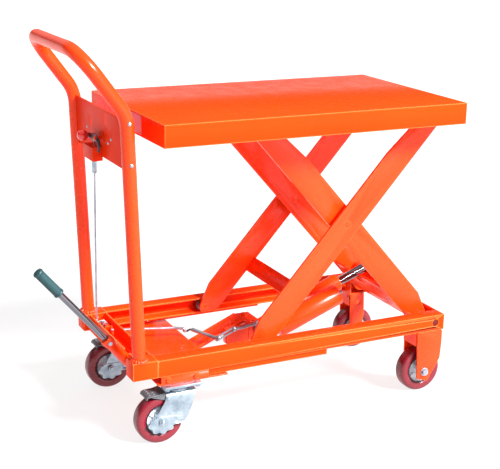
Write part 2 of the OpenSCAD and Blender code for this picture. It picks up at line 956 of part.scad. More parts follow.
// Puts children on the line from the rod's foot, with Z running up to its top
module along_rod() {
  run = rod_top - rod_foot;
  translate(rod_foot)
    rotate([0, 0, atan2(run[1], run[0])])
      rotate([0, acos(run[2] / norm(run)), 0])
        children();
}

module release_rod() {
  rod_len = norm(rod_top - rod_foot);
  color(CHROME) place() {
    along_rod() {
      translate([0, 0, 14])
        cylinder(r = 2.5, h = rod_len - 14);
      translate([0, 0, 455])
        cylinder(r = 6, h = 34);
    }
    translate([rod_foot[0], 0, 0]) {
      cross_pin(0, crank_z, 2, 131, 139.5);
      block([-3, 138.5, crank_z - 4], [3, 141.5, crank_z + 19]);
      block([-3, 131.5, crank_z + 14], [3, 141.5, crank_z + 19]);
    }
    translate(rod_top)
      translate([-6, 0, 9])
        rotate([0, 90, 0])
          cylinder(r = 2.5, h = 6);
    translate([rod_top[0] - 3, rod_top[1] - 4, rod_top[2] - 3])
      cube([6, 8, 16]);
  }
}

module bell_crank() {
  color(CHROME) place()
    difference() {
      union() {
        side_plate([[crank_x - crank_arm, crank_z, 6.4], [crank_x, crank_z, 8]], 132, 136);
        cross_pin(crank_x, crank_z, 6, 118, 136);
        side_plate([[crank_x, crank_z, 8], [crank_x, crank_z - crank_drop, 7.5]], 118, 122);
      }
      cross_pin(crank_x, crank_z, 3 + pin_gap, 100, 150);
      cross_pin(crank_x - crank_arm, crank_z, 4.7, 130, 137);
      cross_pin(crank_x, crank_z - crank_drop, 4.6, 117, 123);
    }
}

tie_path = [
  [crank_x + 6, tie_y, 196], [161, 74, 188], [198, 56, 185.5], [236, -46, 188], [286, -50, 211]
];
valve_x = 352;
valve_z = 196;
valve_arm = 22;

module tie_rod() {
  r = 4;
  color(CHROME) place() {
    for (i = [0:len(tie_path) - 2])
      let (run = tie_path[i + 1] - tie_path[i])
      translate(tie_path[i])
        rotate([0, 0, atan2(run[1], run[0])])
          rotate([0, acos(run[2] / norm(run)), 0])
            cylinder(r = r, h = norm(run) + 1.5, $fn = 10);
    block([crank_x - 6, tie_y - 1.5, 190], [crank_x + 7, tie_y + 1.5, 202]);
    cross_pin(crank_x, 196, 2.5, tie_y, 122);
    block([284, -56, 205], [345, -53, 218]);
    block([342, -56, 211], [359, -53, 223]);
    cross_pin(valve_x, valve_z + valve_arm, 2.5, -56, -47.5);
  }
}

module valve_lever() {
  color(STEEL) place()
    difference() {
      side_plate([[valve_x, valve_z, 8], [valve_x, valve_z + valve_arm, 6]], -52, -48);
      cross_pin(valve_x, valve_z, 5 + pin_gap, -53, -46);
      cross_pin(valve_x, valve_z + valve_arm, 3.6, -53, -46);
    }
}

base_rail_near();
base_rail_far();
handle_crossbeam();
deck_pan();
front_crossbeam();
wheel_bracket_near();
wheel_bracket_far();
handle_tube_near();
handle_tube_far();
handle_plate();
base_pivot_shaft();
caster_mount_near();
caster_mount_far();
frame_bolts();
pump_support();
pump_block();
release_bracket();
linkage_brackets();
caster_fork_near();
caster_fork_far();
brake_pedal_near();
brake_pedal_far();
caster_tyre_near();
caster_tyre_far();
caster_hub_near();
caster_hub_far();
front_tyre_near();
front_tyre_far();
front_hub_near();
front_hub_far();
inner_arm_near();
inner_arm_far();
inner_cross_members();
cylinder_lugs();
inner_roller_pins();
outer_arm_near();
outer_arm_far();
outer_cross_plate();
outer_arm_pins();
table_top();
table_channels();
table_pin_brackets();
name_plate();
base_roller_near();
base_roller_far();
table_roller_near();
table_roller_far();
cylinder_barrel();
oil_tank();
piston_rod();
lever_socket();
lever_bar();
lever_grip();
pump_plunger();
release_lever();
release_knob();
release_rod();
bell_crank();
tie_rod();
valve_lever();
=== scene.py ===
import json
import math
import random

import bpy
from mathutils import Matrix, Vector


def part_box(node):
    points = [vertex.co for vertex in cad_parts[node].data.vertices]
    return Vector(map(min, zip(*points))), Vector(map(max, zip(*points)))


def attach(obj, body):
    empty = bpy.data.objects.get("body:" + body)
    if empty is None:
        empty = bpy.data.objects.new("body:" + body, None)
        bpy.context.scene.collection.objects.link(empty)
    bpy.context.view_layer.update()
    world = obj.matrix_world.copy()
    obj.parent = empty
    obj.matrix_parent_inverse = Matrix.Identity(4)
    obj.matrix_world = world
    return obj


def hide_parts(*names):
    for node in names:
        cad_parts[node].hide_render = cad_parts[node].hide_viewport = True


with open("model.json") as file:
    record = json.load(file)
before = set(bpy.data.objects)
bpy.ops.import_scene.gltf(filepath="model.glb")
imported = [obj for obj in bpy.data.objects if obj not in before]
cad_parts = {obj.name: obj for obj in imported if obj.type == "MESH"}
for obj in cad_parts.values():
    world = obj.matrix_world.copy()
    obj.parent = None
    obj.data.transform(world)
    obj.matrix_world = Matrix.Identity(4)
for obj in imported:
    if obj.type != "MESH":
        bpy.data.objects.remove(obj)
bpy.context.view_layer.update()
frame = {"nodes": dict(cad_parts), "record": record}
scene = bpy.context.scene
record = frame["record"]
slot_of = {s["node"]: s["material_slot"] for s in record["subparts"]}

MM = 0.001
table_lo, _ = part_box("table_top")
ORIGIN_X = table_lo.x
SIDES = (("near", -1), ("far", 1))


def at(x, y, z):
    """A point given in mm from the table's handle end, the centre plane and the floor."""
    return Vector((ORIGIN_X + x * MM, y * MM, z * MM))


# ---------- camera ----------

CAM_AZIMUTH, CAM_TILT, CAM_ROLL = -26.3, 16.3, 1.0
CAM_TARGET = at(351.2, 0, 453.1)
CAM_DISTANCE = 3.1541
CAM_LENS = 84.44


def make_camera():
    a, e, r = (math.radians(v) for v in (CAM_AZIMUTH, CAM_TILT, CAM_ROLL))
    back = Vector((math.sin(a) * math.cos(e), -math.cos(a) * math.cos(e), math.sin(e)))
    right = Vector((math.cos(a), math.sin(a), 0))
    up = back.cross(right)
    right2 = right * math.cos(r) + up * math.sin(r)
    up2 = up * math.cos(r) - right * math.sin(r)
    data = bpy.data.cameras.new("camera")
    data.lens = CAM_LENS
    data.sensor_width = 36
    data.sensor_fit = "HORIZONTAL"
    data.clip_end = 200
    cam = bpy.data.objects.new("camera", data)
    rot = Matrix((right2, up2, back)).transposed().to_4x4()
    cam.matrix_world = Matrix.Translation(CAM_TARGET + back * CAM_DISTANCE) @ rot
    scene.collection.objects.link(cam)
    scene.camera = cam


make_camera()

# ---------- materials ----------


def map_range(tree, value, low, high, a, b):
    """Carries a value from the range low to high over to the range a to b, clamped."""
    node = tree.nodes.new("ShaderNodeMapRange")
    for name, number in (("From Min", low), ("From Max", high), ("To Min", a), ("To Max", b)):
        node.inputs[name].default_value = number
    tree.links.new(value, node.inputs["Value"])
    return node.outputs["Result"]


class Nodes:
    """A short way to wire one material's nodes."""

    def __init__(self, name):
        self.mat = bpy.data.materials.new(name)
        self.mat.use_nodes = True
        self.tree = self.mat.node_tree
        self.bsdf = self.tree.nodes["Principled BSDF"]
        coord = self.tree.nodes.new("ShaderNodeTexCoord")
        self.coord = coord.outputs["Object"]

    def add(self, kind, **values):
        node = self.tree.nodes.new(kind)
        for key, value in values.items():
            if key in node.inputs:
                node.inputs[key].default_value = value
            else:
                setattr(node, key, value)
        return node

    def link(self, a, b):
        self.tree.links.new(a, b)

    def noise(self, scale, detail=3.0, rough=0.5, stretch=None):
        node = self.add("ShaderNodeTexNoise", Scale=scale, Detail=detail, Roughness=rough)
        source = self.coord
        if stretch:
            mapping = self.add("ShaderNodeMapping")
            mapping.inputs["Scale"].default_value = stretch
            self.link(source, mapping.inputs["Vector"])
            source = mapping.outputs["Vector"]
        self.link(source, node.inputs["Vector"])
        return node.outputs["Fac"]

    def ramp(self, value, low, high, a, b):
        return map_range(self.tree, value, low, high, a, b)

    def mix(self, fac, a, b):
        node = self.add("ShaderNodeMix", data_type="RGBA")
        self.link(fac, node.inputs[0])
        for socket, value in ((node.inputs[6], a), (node.inputs[7], b)):
            if isinstance(value, tuple):
                socket.default_value = (*value, 1)
            else:
                self.link(value, socket)
        return node.outputs[2]

    def edges(self, radius):
        """0 on flat faces and 1 on outer edges, from the bevel shader's bent normal."""
        bevel = self.add("ShaderNodeBevel", samples=4)
        bevel.inputs["Radius"].default_value = radius
        geo = self.add("ShaderNodeNewGeometry")
        dot = self.add("ShaderNodeVectorMath", operation="DOT_PRODUCT")
        self.link(bevel.outputs["Normal"], dot.inputs[0])
        self.link(geo.outputs["Normal"], dot.inputs[1])
        return self.ramp(dot.outputs["Value"], 0.995, 0.86, 0.0, 1.0)

    def bump(self, height, strength, distance, after=None):
        node = self.add("ShaderNodeBump", Strength=strength, Distance=distance)
        self.link(height, node.inputs["Height"])
        if after is not None:
            self.link(after, node.inputs["Normal"])
        return node.outputs["Normal"]

    def done(self, colour=None, rough=None, normal=None, **values):
        for key, value in values.items():
            self.bsdf.inputs[key.replace("_", " ")].default_value = value
        if colour is not None:
            self.link(colour, self.bsdf.inputs["Base Color"])
        if rough is not None:
            self.link(rough, self.bsdf.inputs["Roughness"])
        if normal is not None:
            self.link(normal, self.bsdf.inputs["Normal"])
        return self.mat


def powder_coat(name, base, deep, rough=0.22, highlight_radius=0.0012, gloss=0.24):
    """Powder coat with clouding, flecks, orange peel and a painted highlight: a paler line on outer edges.
    """
    n = Nodes(name)
    cloud = n.ramp(n.noise(3.5, 2.0), 0.3, 0.7, 0.0, 1.0)
    colour = n.mix(cloud, base, deep)
    fleck = n.ramp(n.noise(700.0, 2.0, 0.6), 0.62, 0.80, 0.0, 0.35)
    colour = n.mix(fleck, colour, tuple(c * 0.80 for c in deep))
    # Painted highlight: outer edges turn a paler, yellower orange.
    painted_edge_highlight = n.edges(highlight_radius)
    colour = n.mix(painted_edge_highlight, colour, (min(1, base[0] * 1.06), base[1] * 5.0 + 0.03, base[2] * 14 + 0.03))
    roughness = n.ramp(n.noise(22.0, 4.0, 0.6), 0.25, 0.75, rough, rough + 0.10)
    peel = n.bump(n.noise(420.0, 2.0), 0.10, 0.0006)
    wave = n.bump(n.noise(14.0, 1.0), 0.05, 0.004, after=peel)
    return n.done(colour, roughness, wave, Specular_IOR_Level=gloss, Coat_Weight=gloss / 4,
                  Coat_Roughness=0.08)


def plated(name, base, stain, rough, scratch, metal=1.0):
    n = Nodes(name)
    cloud = n.ramp(n.noise(30.0, 5.0, 0.65), 0.35, 0.65, 0.0, 1.0)
    colour = n.mix(cloud, base, stain)
    roughness = n.ramp(n.noise(70.0, 5.0, 0.7), 0.3, 0.7, rough, rough + 0.16)
    lines = n.noise(60.0, 2.0, 0.5, stretch=(1.0, 1.0, 18.0))
    return n.done(colour, roughness, n.bump(lines, scratch, 0.0004), Metallic=metal)


def polished(name, base):
    n = Nodes(name)
    cloud = n.ramp(n.noise(12.0, 3.0), 0.3, 0.7, 0.0, 1.0)
    colour = n.mix(cloud, base, tuple(c * 0.93 for c in base))
    roughness = n.ramp(n.noise(90.0, 4.0, 0.7), 0.3, 0.7, 0.05, 0.13)
    return n.done(colour, roughness, n.bump(n.noise(240.0, 2.0), 0.02, 0.0003), Metallic=1.0)


def moulded(name, base, other, rough, grain, height, coat=0.0):
    n = Nodes(name)
    cloud = n.ramp(n.noise(18.0, 4.0), 0.3, 0.7, 0.0, 1.0)
    colour = n.mix(cloud, base, other)
    # Painted highlight: outer edges turn paler.
    moulded_edge_highlight = n.edges(0.0015)
    colour = n.mix(moulded_edge_highlight, colour, tuple(min(1, c * 1.35 + 0.015) for c in base))
    roughness = n.ramp(n.noise(50.0, 4.0), 0.3, 0.7, rough, rough + 0.15)
    normal = n.bump(n.noise(grain, 3.0), height, 0.0005)
    return n.done(colour, roughness, normal, Coat_Weight=coat, Coat_Roughness=0.15)


PAINT, PAINT_DEEP = (0.90, 0.045, 0.0030), (0.86, 0.040, 0.0026)
# Width of the wider painted edge highlight band.
WIDE_HIGHLIGHT_RADIUS = 0.0042

MATERIALS = {
    "orange_paint": powder_coat("orange_paint", PAINT, PAINT_DEEP),
    "zinc": plated("zinc", (0.44, 0.52, 0.58), (0.24, 0.30, 0.37), 0.26, 0.12, 0.85),
    "chrome": polished("chrome", (0.20, 0.20, 0.225)),
    "steel": plated("steel", (0.24, 0.23, 0.25), (0.13, 0.12, 0.14), 0.28, 0.16),
    "tyre": moulded("tyre", (0.19, 0.0055, 0.016), (0.14, 0.0042, 0.012), 0.20, 300.0, 0.08, 0.25),
    "hub": moulded("hub", (0.66, 0.72, 0.78), (0.54, 0.60, 0.67), 0.26, 120.0, 0.10, 0.3),
    "black": moulded("black", (0.105, 0.110, 0.122), (0.060, 0.064, 0.074), 0.34, 380.0, 0.25),
    "grip": moulded("grip", (0.010, 0.052, 0.058), (0.007, 0.038, 0.044), 0.40, 500.0, 0.25),
    "red_knob": moulded("red_knob", (0.80, 0.020, 0.014), (0.70, 0.016, 0.012), 0.10, 90.0, 0.03, 0.8),
    "plate": plated("plate", (0.52, 0.46, 0.66), (0.44, 0.40, 0.56), 0.34, 0.08, 0.20),
}
RIM = moulded("rim_dark", (0.030, 0.030, 0.042), (0.020, 0.020, 0.028), 0.30, 200.0, 0.15)
WELD = powder_coat("weld_paint", (0.86, 0.042, 0.005), (0.78, 0.036, 0.004), 0.28)
# Copy of the paint with a wider painted edge highlight and less gloss.
WIDE_HIGHLIGHT_PAINT = powder_coat("wide_highlight_paint", PAINT, PAINT_DEEP, highlight_radius=WIDE_HIGHLIGHT_RADIUS, gloss=0.04)
# Darker, low-gloss copy of the paint: the darker colour is painted shade.
SHADED_MATTE_PAINT = powder_coat("shaded_matte_paint", (0.80, 0.030, 0.0030), (0.74, 0.027, 0.0026), 0.34,
                    gloss=0.05)
# Near-black copy of the paint: painted shade in the recess at the pivot shaft's end.
RECESS_SHADE_PAINT = powder_coat("recess_shade_paint", (0.16, 0.008, 0.004), (0.11, 0.006, 0.003), 0.40)
DARK_STEEL = plated("dark_steel", (0.085, 0.075, 0.085), (0.045, 0.040, 0.048), 0.30, 0.14)


# ---------- mesh building ----------


class Shape:
    """Vertices and faces in millimetres of the layout frame, gathered into one mesh."""

    def __init__(self):
        self.verts = []
        self.faces = []

    def add(self, verts, faces, m=None):
        k = len(self.verts)
        self.verts += [m @ Vector(v) if m else Vector(v) for v in verts]
        self.faces += [[k + i for i in f] for f in faces]
        return self

    def grid(self, rings, closed_ring=True, caps=True, loop=False, m=None):
        """Skins a list of equal rings of points, one after another."""
        n = len(rings[0])
        verts = [p for ring in rings for p in ring]
        faces = []
        count = len(rings)
        for i in range(count if loop else count - 1):
            a, b = i * n, ((i + 1) % count) * n
            for j in range(n if closed_ring else n - 1):
                k = (j + 1) % n
                faces.append((a + j, a + k, b + k, b + j))
        if caps and not loop:
            faces.append(tuple(range(n - 1, -1, -1)))
            faces.append(tuple((count - 1) * n + j for j in range(n)))
        return self.add(verts, faces, m)

    def lathe(self, profile, m=None, steps=64, closed=True):
        """Turns (height, radius) pairs around the local Z axis."""
        rings = []
        for i in range(steps):
            a = 2 * math.pi * i / steps
            rings.append([(r * math.cos(a), r * math.sin(a), z) for z, r in profile])
        return self.grid(rings, closed_ring=closed, caps=False, loop=True, m=m)

    def extrude(self, outline, low, high, m=None):
        """A flat plate: outline in local XY, between two local Z heights."""
        n = len(outline)
        verts = [(x, y, low) for x, y in outline] + [(x, y, high) for x, y in outline]
        faces = [tuple(range(n - 1, -1, -1)), tuple(range(n, 2 * n))]
        faces += [(j, (j + 1) % n, n + (j + 1) % n, n + j) for j in range(n)]
        return self.add(verts, faces, m)

    def hexagon(self, across, height, m=None):
        r = across / 2 / math.cos(math.pi / 6)
        rings = []
        for z, k in ((0, 1.0), (height * 0.82, 1.0), (height, 0.88)):
            rings.append([(r * k * math.cos(math.pi * (i / 3 + 1 / 6)),
                           r * k * math.sin(math.pi * (i / 3 + 1 / 6)), z) for i in range(6)])
        return self.grid(rings, m=m)

    def washer(self, inner, outer, low, high, m=None):
        c = min(0.4, (high - low) / 3)
        return self.lathe([(low, inner), (low, outer - c), (low + c, outer), (high - c, outer),
                           (high, outer - c), (high, inner)], m, 40)

    def sweep(self, path, radius, steps=20, caps=True, squash=1.0):
        """A round bar along a path, with its frame carried from point to point."""
        points = [Vector(p) for p in path]
        normal = None
        rings = []
        for i, p in enumerate(points):
            ahead = points[min(i + 1, len(points) - 1)] - points[max(i - 1, 0)]
            t = ahead.normalized()
            if normal is None:
                normal = t.orthogonal().normalized()
            normal = (normal - t * normal.dot(t)).normalized()
            side = t.cross(normal)
            r = radius(i) if callable(radius) else radius
            ring = []
            for k in range(steps):
                a = 2 * math.pi * k / steps
                ring.append(p + (normal * math.cos(a) + side * math.sin(a) * squash) * r)
            rings.append(ring)
        return self.grid(rings, caps=caps)


def fillet(points, radii, steps=12):
    """Rounds the inner corners of a polyline."""
    points = [Vector(p) for p in points]
    out = [points[0]]
    for i in range(1, len(points) - 1):
        p = points[i]
        a = (points[i - 1] - p).normalized()
        b = (points[i + 1] - p).normalized()
        half = a.angle(b) / 2
        r = radii[i - 1] if isinstance(radii, (list, tuple)) else radii
        cut = r / math.tan(half)
        centre = p + (a + b).normalized() * (r / math.sin(half))
        start, end = p + a * cut - centre, p + b * cut - centre
        turn = start.angle(end)
        axis = start.cross(end).normalized()
        for k in range(steps + 1):
            out.append(centre + Matrix.Rotation(turn * k / steps, 3, axis) @ start)
    out.append(points[-1])
    return out


def dense(path, step):
    """The same polyline with points no further apart than one step."""
    out = [Vector(path[0])]
    for p in path[1:]:
        a = out[-1]
        n = max(1, math.ceil((Vector(p) - a).length / step))
        out += [a.lerp(Vector(p), k / n) for k in range(1, n + 1)]
    return out


def arc(cx, cy, r, a0, a1, steps=8):
    out = []
    for k in range(steps + 1):
        a = math.radians(a0 + (a1 - a0) * k / steps)
        out.append((cx + r * math.cos(a), cy + r * math.sin(a)))
    return out


def wrap(circles, steps=8):
    """Outline around a ring of corner circles (x, y, radius), listed anticlockwise."""
    m = len(circles)

    def normal(a, b):
        dx, dy = b[0] - a[0], b[1] - a[1]
        lean = math.asin((a[2] - b[2]) / math.hypot(dx, dy))
        return math.degrees(math.atan2(dy, dx) + lean) - 90

    out = []
    for i, c in enumerate(circles):
        first = normal(circles[i - 1], c)
        last = normal(c, circles[(i + 1) % m])
        out += arc(c[0], c[1], c[2], first, first + (last - first) % 360, steps)
    return out


def place(x, y, z, toward=(0, 0, 1), spin=0.0):
    """Matrix that stands a shape's local Z along a direction at a point, in mm."""
    turn = Vector(toward).normalized().to_track_quat("Z", "Y").to_matrix().to_4x4()
    return Matrix.Translation((x, y, z)) @ turn @ Matrix.Rotation(math.radians(spin), 4, "Z")


FLAT = Matrix(((1, 0, 0, 0), (0, 0, -1, 0), (0, 1, 0, 0), (0, 0, 0, 1)))


def upright(y=0.0):
    """Local XY becomes the XZ plane, and local Z runs towards the near side from y."""
    return Matrix.Translation((0, y, 0)) @ FLAT


def finish_mesh(obj, material, angle, bevel):
    data = obj.data
    data.materials.clear()
    data.materials.append(material)
    for poly in data.polygons:
        poly.use_smooth = True
        poly.material_index = 0
    data.set_sharp_from_angle(angle=math.radians(angle))
    if bevel:
        mod = obj.modifiers.new("soft_edges", "BEVEL")
        mod.width = bevel * MM
        mod.segments = 2
        mod.limit_method = "ANGLE"
        mod.angle_limit = math.radians(angle)
        mod.harden_normals = True


def piece(name, shape, body, slot, replaces=(), bevel=0.0, material=None, angle=35, subdiv=0):
    data = bpy.data.meshes.new(name)
    data.from_pydata([at(*v) for v in shape.verts], [], shape.faces)
    data.validate()
    obj = bpy.data.objects.new(name, data)
    scene.collection.objects.link(obj)
    finish_mesh(obj, material or MATERIALS[slot], angle, bevel)
    if subdiv:
        mod = obj.modifiers.new("smooth", "SUBSURF")
        mod.levels = mod.render_levels = subdiv
    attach(obj, body)
    if replaces:
        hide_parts(*replaces)
    return obj


def dress_cad_nodes():
    """Every CAD node that stays gets its finish, welded seams and softened edges."""
    for name, obj in frame["nodes"].items():
        weld = obj.modifiers.new("weld", "WELD")
        weld.merge_threshold = 0.00002
        finish_mesh(obj, MATERIALS[slot_of[name]], 30, 0.9 if slot_of[name] == "orange_paint" else 0.5)


dress_cad_nodes()

# ---------- push handle ----------

LEG_X, LEG_Y, FOOT_Z = -43.0, 195.0, 227.0
TUBE_R = 17.0
LEAN, BEND = math.radians(2.3), math.radians(34.2)
LEG_LENGTH, UPPER_LENGTH = 610.1, 189.7


def leg_point(y, along, out=0.0):
    """A point in the leaning plane of the handle legs, out of the plane towards the pusher."""
    return (LEG_X - along * math.sin(LEAN) - out * math.cos(LEAN), y,
            FOOT_Z + along * math.cos(LEAN) - out * math.sin(LEAN))


def handle():
    knee = leg_point(0, LEG_LENGTH)
    top = (knee[0] - UPPER_LENGTH * math.sin(LEAN + BEND), 0,
           knee[2] + UPPER_LENGTH * math.cos(LEAN + BEND))
    line = []
    for s, order in ((-1, 1), (1, -1)):
        line += [(q[0], s * LEG_Y, q[2]) for q in (leg_point(0, 0.4), knee, top)[::order]]
    path = dense(fillet(line, [100, 73, 73, 100], 16), 40)
    piece("handle_tube", Shape().sweep(path, TUBE_R, 40), "base", "orange_paint",
          ["handle_tube_near", "handle_tube_far"])
    rng = random.Random(4)
    welds = Shape()
    for s in (-1, 1):
        rings = []
        steps = 72
        for i in range(steps):
            a = 2 * math.pi * i / steps
            bead = 1.0 + 0.16 * math.sin(i * math.pi / 2) + 0.06 * rng.uniform(-1, 1)
            ring = []
            for k in range(7):
                b = math.pi * 0.5 * k / 6
                r = TUBE_R - 1 + (7.5 * bead) * math.cos(b)
                ring.append((LEG_X + r * math.cos(a), s * LEG_Y + r * math.sin(a),
                             FOOT_Z - 0.3 + 8.0 * bead * math.sin(b)))
            ring.append((LEG_X + (TUBE_R - 3) * math.cos(a), s * LEG_Y + (TUBE_R - 3) * math.sin(a),
                         FOOT_Z - 0.3))
            rings.append(ring)
        welds.grid(rings, closed_ring=True, caps=False, loop=True)
    piece("handle_welds", welds, "base", "orange_paint", material=WELD, angle=80)


handle()

# ---------- wheels ----------

WHEEL_R, WHEEL_HALF = 62.5, 19.0
AXLE_Z = 62.5
FRONT = (794.0, 178.0)
CASTER = (58.0, 190.0)
TRAIL = 50.0


def wheel(label, side, x, y, body):
    m = place(x, y, AXLE_Z, (0, side, 0))
    h, r = WHEEL_HALF, WHEEL_R
    half = [(0, r), (h - 9, r), (h - 5.5, r - 0.7), (h - 2.6, r - 2.6), (h - 0.8, r - 5.8),
            (h, r - 10), (h, r - 17), (h - 0.8, 41.5), (h - 2.4, 39.5)]
    tread = half + [(-z, q) for z, q in half[:0:-1]]
    piece("tyre_" + label, Shape().lathe(tread, m, 96), body, "tyre",
          [label_node("tyre", label)], angle=60)
    ring = Shape()
    for s in (-1, 1):
        ring.lathe([(s * 8, 39.4), (s * (h - 2.6), 39.4), (s * (h - 1.4), 38.6),
                    (s * (h - 1.8), 36.6), (s * (h - 4), 35.6), (s * 8, 35.4)], m, 80)
    piece("rim_ring_" + label, ring, body, "hub", material=RIM, angle=50)
    disc = Shape()
    disc.lathe([(-h + 4, 35.3), (h - 4, 35.3), (h - 5.5, 34.4), (7.5, 31), (6.5, 24), (8, 18.5),
                (h - 1, 16.5), (h + 2.4, 15.4), (h + 3, 14.6), (h + 3, 6.1), (-h - 3, 6.1),
                (-h - 3, 14.6), (-h - 2.4, 15.4), (-h + 1, 16.5), (-8, 18.5), (-6.5, 24),
                (-7.5, 31), (-h + 5.5, 34.4)], m, 80)
    for k in range(5):
        a = 2 * math.pi * k / 5
        for s in (-1, 1):
            rib = wrap([(19, -1.6, 0.8), (31, -2.4, 0.8), (31, 2.4, 0.8), (19, 1.6, 0.8)], 3)
            low, high = sorted((s * 6, s * 12))
            disc.extrude(rib, low, high, m @ Matrix.Rotation(a, 4, "Z"))
    for s in (-1, 1):
        disc.lathe([(s * (h + 2.9), 13.2), (s * (h + 3.4), 12.6), (s * (h + 3.4), 8.4),
                    (s * (h + 2.9), 7.8)], m, 48)
    piece("hub_" + label, disc, body, "hub", [label_node("hub", label)], angle=40)


def label_node(kind, label):
    place_name, side = label.split("_")
    return f"{place_name}_{kind}_{side}"


for side_name, s in SIDES:
    wheel("front_" + side_name, s, FRONT[0], s * FRONT[1], "front_wheel_" + side_name)
    wheel("caster_" + side_name, s, CASTER[0] - TRAIL, s * CASTER[1], "caster_wheel_" + side_name)

# ---------- foot lever grip ----------

LEVER_PIN = (-38.0, -120.0, 191.0)
LEVER_ANGLE = math.radians(49.5)
LEVER_TOWARD = (-math.cos(LEVER_ANGLE), 0, math.sin(LEVER_ANGLE))
LEVER_LENGTH, GRIP_LENGTH = 358.0, 82.0


def lever_point(along):
    return Vector(LEVER_PIN) + Vector(LEVER_TOWARD) * along


def lever_matrix(along):
    return place(*lever_point(along), LEVER_TOWARD)


def lever_grip():
    g = GRIP_LENGTH
    profile = [(-0.2, 8.1), (0, 12.6), (1.5, 13.4), (4, 13.4), (5.5, 12.2)]
    z = 6.0
    while z < g - 9:
        profile += [(z, 11.3), (z + 0.7, 12.3), (z + 2.4, 12.4), (z + 3.1, 11.3)]
        z += 4.2
    profile += [(g - 8, 12.2), (g - 6.5, 13.2), (g - 3, 13.2), (g - 0.8, 11.8), (g, 9),
                (g + 0.4, 4), (g + 0.4, 0.01)]
    base = [(g - 14, 0.01), (g - 14, 8.1)]
    shape = Shape().lathe(profile + base, lever_matrix(LEVER_LENGTH - g), 48)
    piece("lever_grip_ribbed", shape, "foot_lever", "grip", ["lever_grip"], angle=50)


lever_grip()

# ---------- casters ----------

CROWN_Z = 134.0
FORK_IN = 25.5


def fork_profile(z):
    """Edges of a broad stamped fork leg, behind and ahead of the swivel axis, at a height."""
    drop = AXLE_Z - z
    if drop > 0:
        half = math.sqrt(max(17.0 ** 2 - drop ** 2, 1.0))
        return -TRAIL - half, -TRAIL + half + 50 * (half / 17) ** 1.5
    t = min(1.0, -drop / (CROWN_Z - AXLE_Z))
    ease = t * t * (3 - 2 * t)
    return -TRAIL - 17 + 30 * ease, 17 + 27 * t ** 0.8


def caster(side_name, s):
    m = Matrix.Translation((CASTER[0], s * CASTER[1], 0))
    line = []
    for z in [AXLE_Z - 16.9, AXLE_Z - 15.5, AXLE_Z - 12, AXLE_Z - 6] + [AXLE_Z + 7.0 * k for k in range(9)]:
        line.append((FORK_IN, z))
    for k in range(1, 7):
        a = math.pi / 2 * k / 6
        line.append((FORK_IN - 9 + 9 * math.cos(a), CROWN_Z - 9 + 9 * math.sin(a)))
    line = line + [(-y, z) for y, z in line[::-1]]
    rings = []
    for y, z in line:
        a, b = fork_profile(z)
        rings.append([(a + (b - a) * k / 10, y, z) for k in range(11)])
    fork = Shape().grid(rings, closed_ring=False, caps=False, m=m)
    obj = piece("caster_fork_sheet_" + side_name, fork, "swivel_" + side_name, "zinc",
                ["caster_fork_" + side_name], angle=50)
    thick = obj.modifiers.new("sheet", "SOLIDIFY")
    thick.thickness = 3.6 * MM
    thick.offset = 0
    soft = obj.modifiers.new("rolled_edges", "BEVEL")
    soft.width = 1.1 * MM
    soft.segments = 3
    soft.limit_method = "ANGLE"
    soft.angle_limit = math.radians(50)
    body = "swivel_" + side_name
    top = Shape()
    top.lathe([(136, 9), (136, 26), (137.5, 28.5), (140, 29.4), (142, 28.8), (143.2, 27),
               (143.2, 9)], m, 64)
    top.lathe([(134.5, 7.9), (157.5, 7.9), (158.5, 7), (158.5, 0.01), (134.5, 0.01)], m, 32)
    top.lathe([(131.8, 0.01), (131.8, 8), (130.5, 10.5), (128, 10.5), (126.6, 9), (126.6, 0.01)], m, 32)
    piece("caster_race_" + side_name, top, body, "zinc", angle=40)
    axle = Shape()
    for t in (-1, 1):
        end = m @ place(-TRAIL, t * (FORK_IN + 2), AXLE_Z, (0, t, 0))
        axle.washer(5.9, 10.5, 0, 1.4, end)
        axle.hexagon(17, 7.5, end @ Matrix.Translation((0, 0, 1.4)))
        axle.lathe([(8.8, 0.01), (8.8, 5.6), (11.6, 5.6), (12.4, 4.8), (12.4, 0.01)], end, 28)
    axle.lathe([(-FORK_IN, 5.9), (FORK_IN, 5.9), (FORK_IN, 0.01), (-FORK_IN, 0.01)],
               m @ place(-TRAIL, 0, AXLE_Z, (0, 1, 0)), 28)
    for t in (-1, 1):
        pin = m @ place(-33, t * 20, 122, (0, t, 0))
        axle.lathe([(0, 0.01), (0, 2.9), (8.6, 2.9), (8.6, 4.6), (10.2, 4.2), (10.8, 2.4), (10.8, 0.01)],
                   pin, 24)
    piece("caster_axle_" + side_name, axle, body, "zinc", bevel=0.4, angle=30)
    claw_plate(side_name, m, body)
    pedal(side_name, m)


def claw_plate(side_name, m, body):
    """The brake's lower plates on both fork legs, with scalloped edges, and its spring hook."""
    outline = []
    for k in range(73):
        a = math.radians(-200 + 220 * k / 72)
        lobe = 35 + 3.2 * math.sin(a * 8 + 0.6) - 4 * math.exp(-((math.degrees(a) + 90) / 60) ** 2)
        outline.append((-TRAIL + lobe * math.cos(a), AXLE_Z - 4 + lobe * 0.86 * math.sin(a)))
    outline += [(-TRAIL + 58, AXLE_Z - 6), (-TRAIL + 56, AXLE_Z + 6), (-TRAIL + 30, AXLE_Z + 12),
                (-TRAIL - 12, AXLE_Z + 14)]
    for t in (-1, 1):
        low = t * (FORK_IN + 1.9)
        turn = m @ upright(low if t < 0 else low + 1.8)
        shape = Shape().extrude(outline, 0, 1.8, turn)
        piece(f"caster_claw_{side_name}_{'ab'[t > 0]}", shape, body, "zinc", bevel=0.5, angle=30)
    hook = fillet([(-TRAIL + 34, 0, AXLE_Z - 8), (-TRAIL + 62, 0, AXLE_Z - 10),
                   (-TRAIL + 90, 0, AXLE_Z - 21)], [30], 8)
    near = m @ Matrix.Translation((0, -(FORK_IN + 4.4), 0))
    path = [near @ Vector(p) for p in dense(hook, 6)]
    wire = Shape().sweep(path, lambda i: 2.4 - 1.5 * i / len(path), 12, squash=0.7)
    piece("caster_hook_" + side_name, wire, body, "zinc", angle=50)


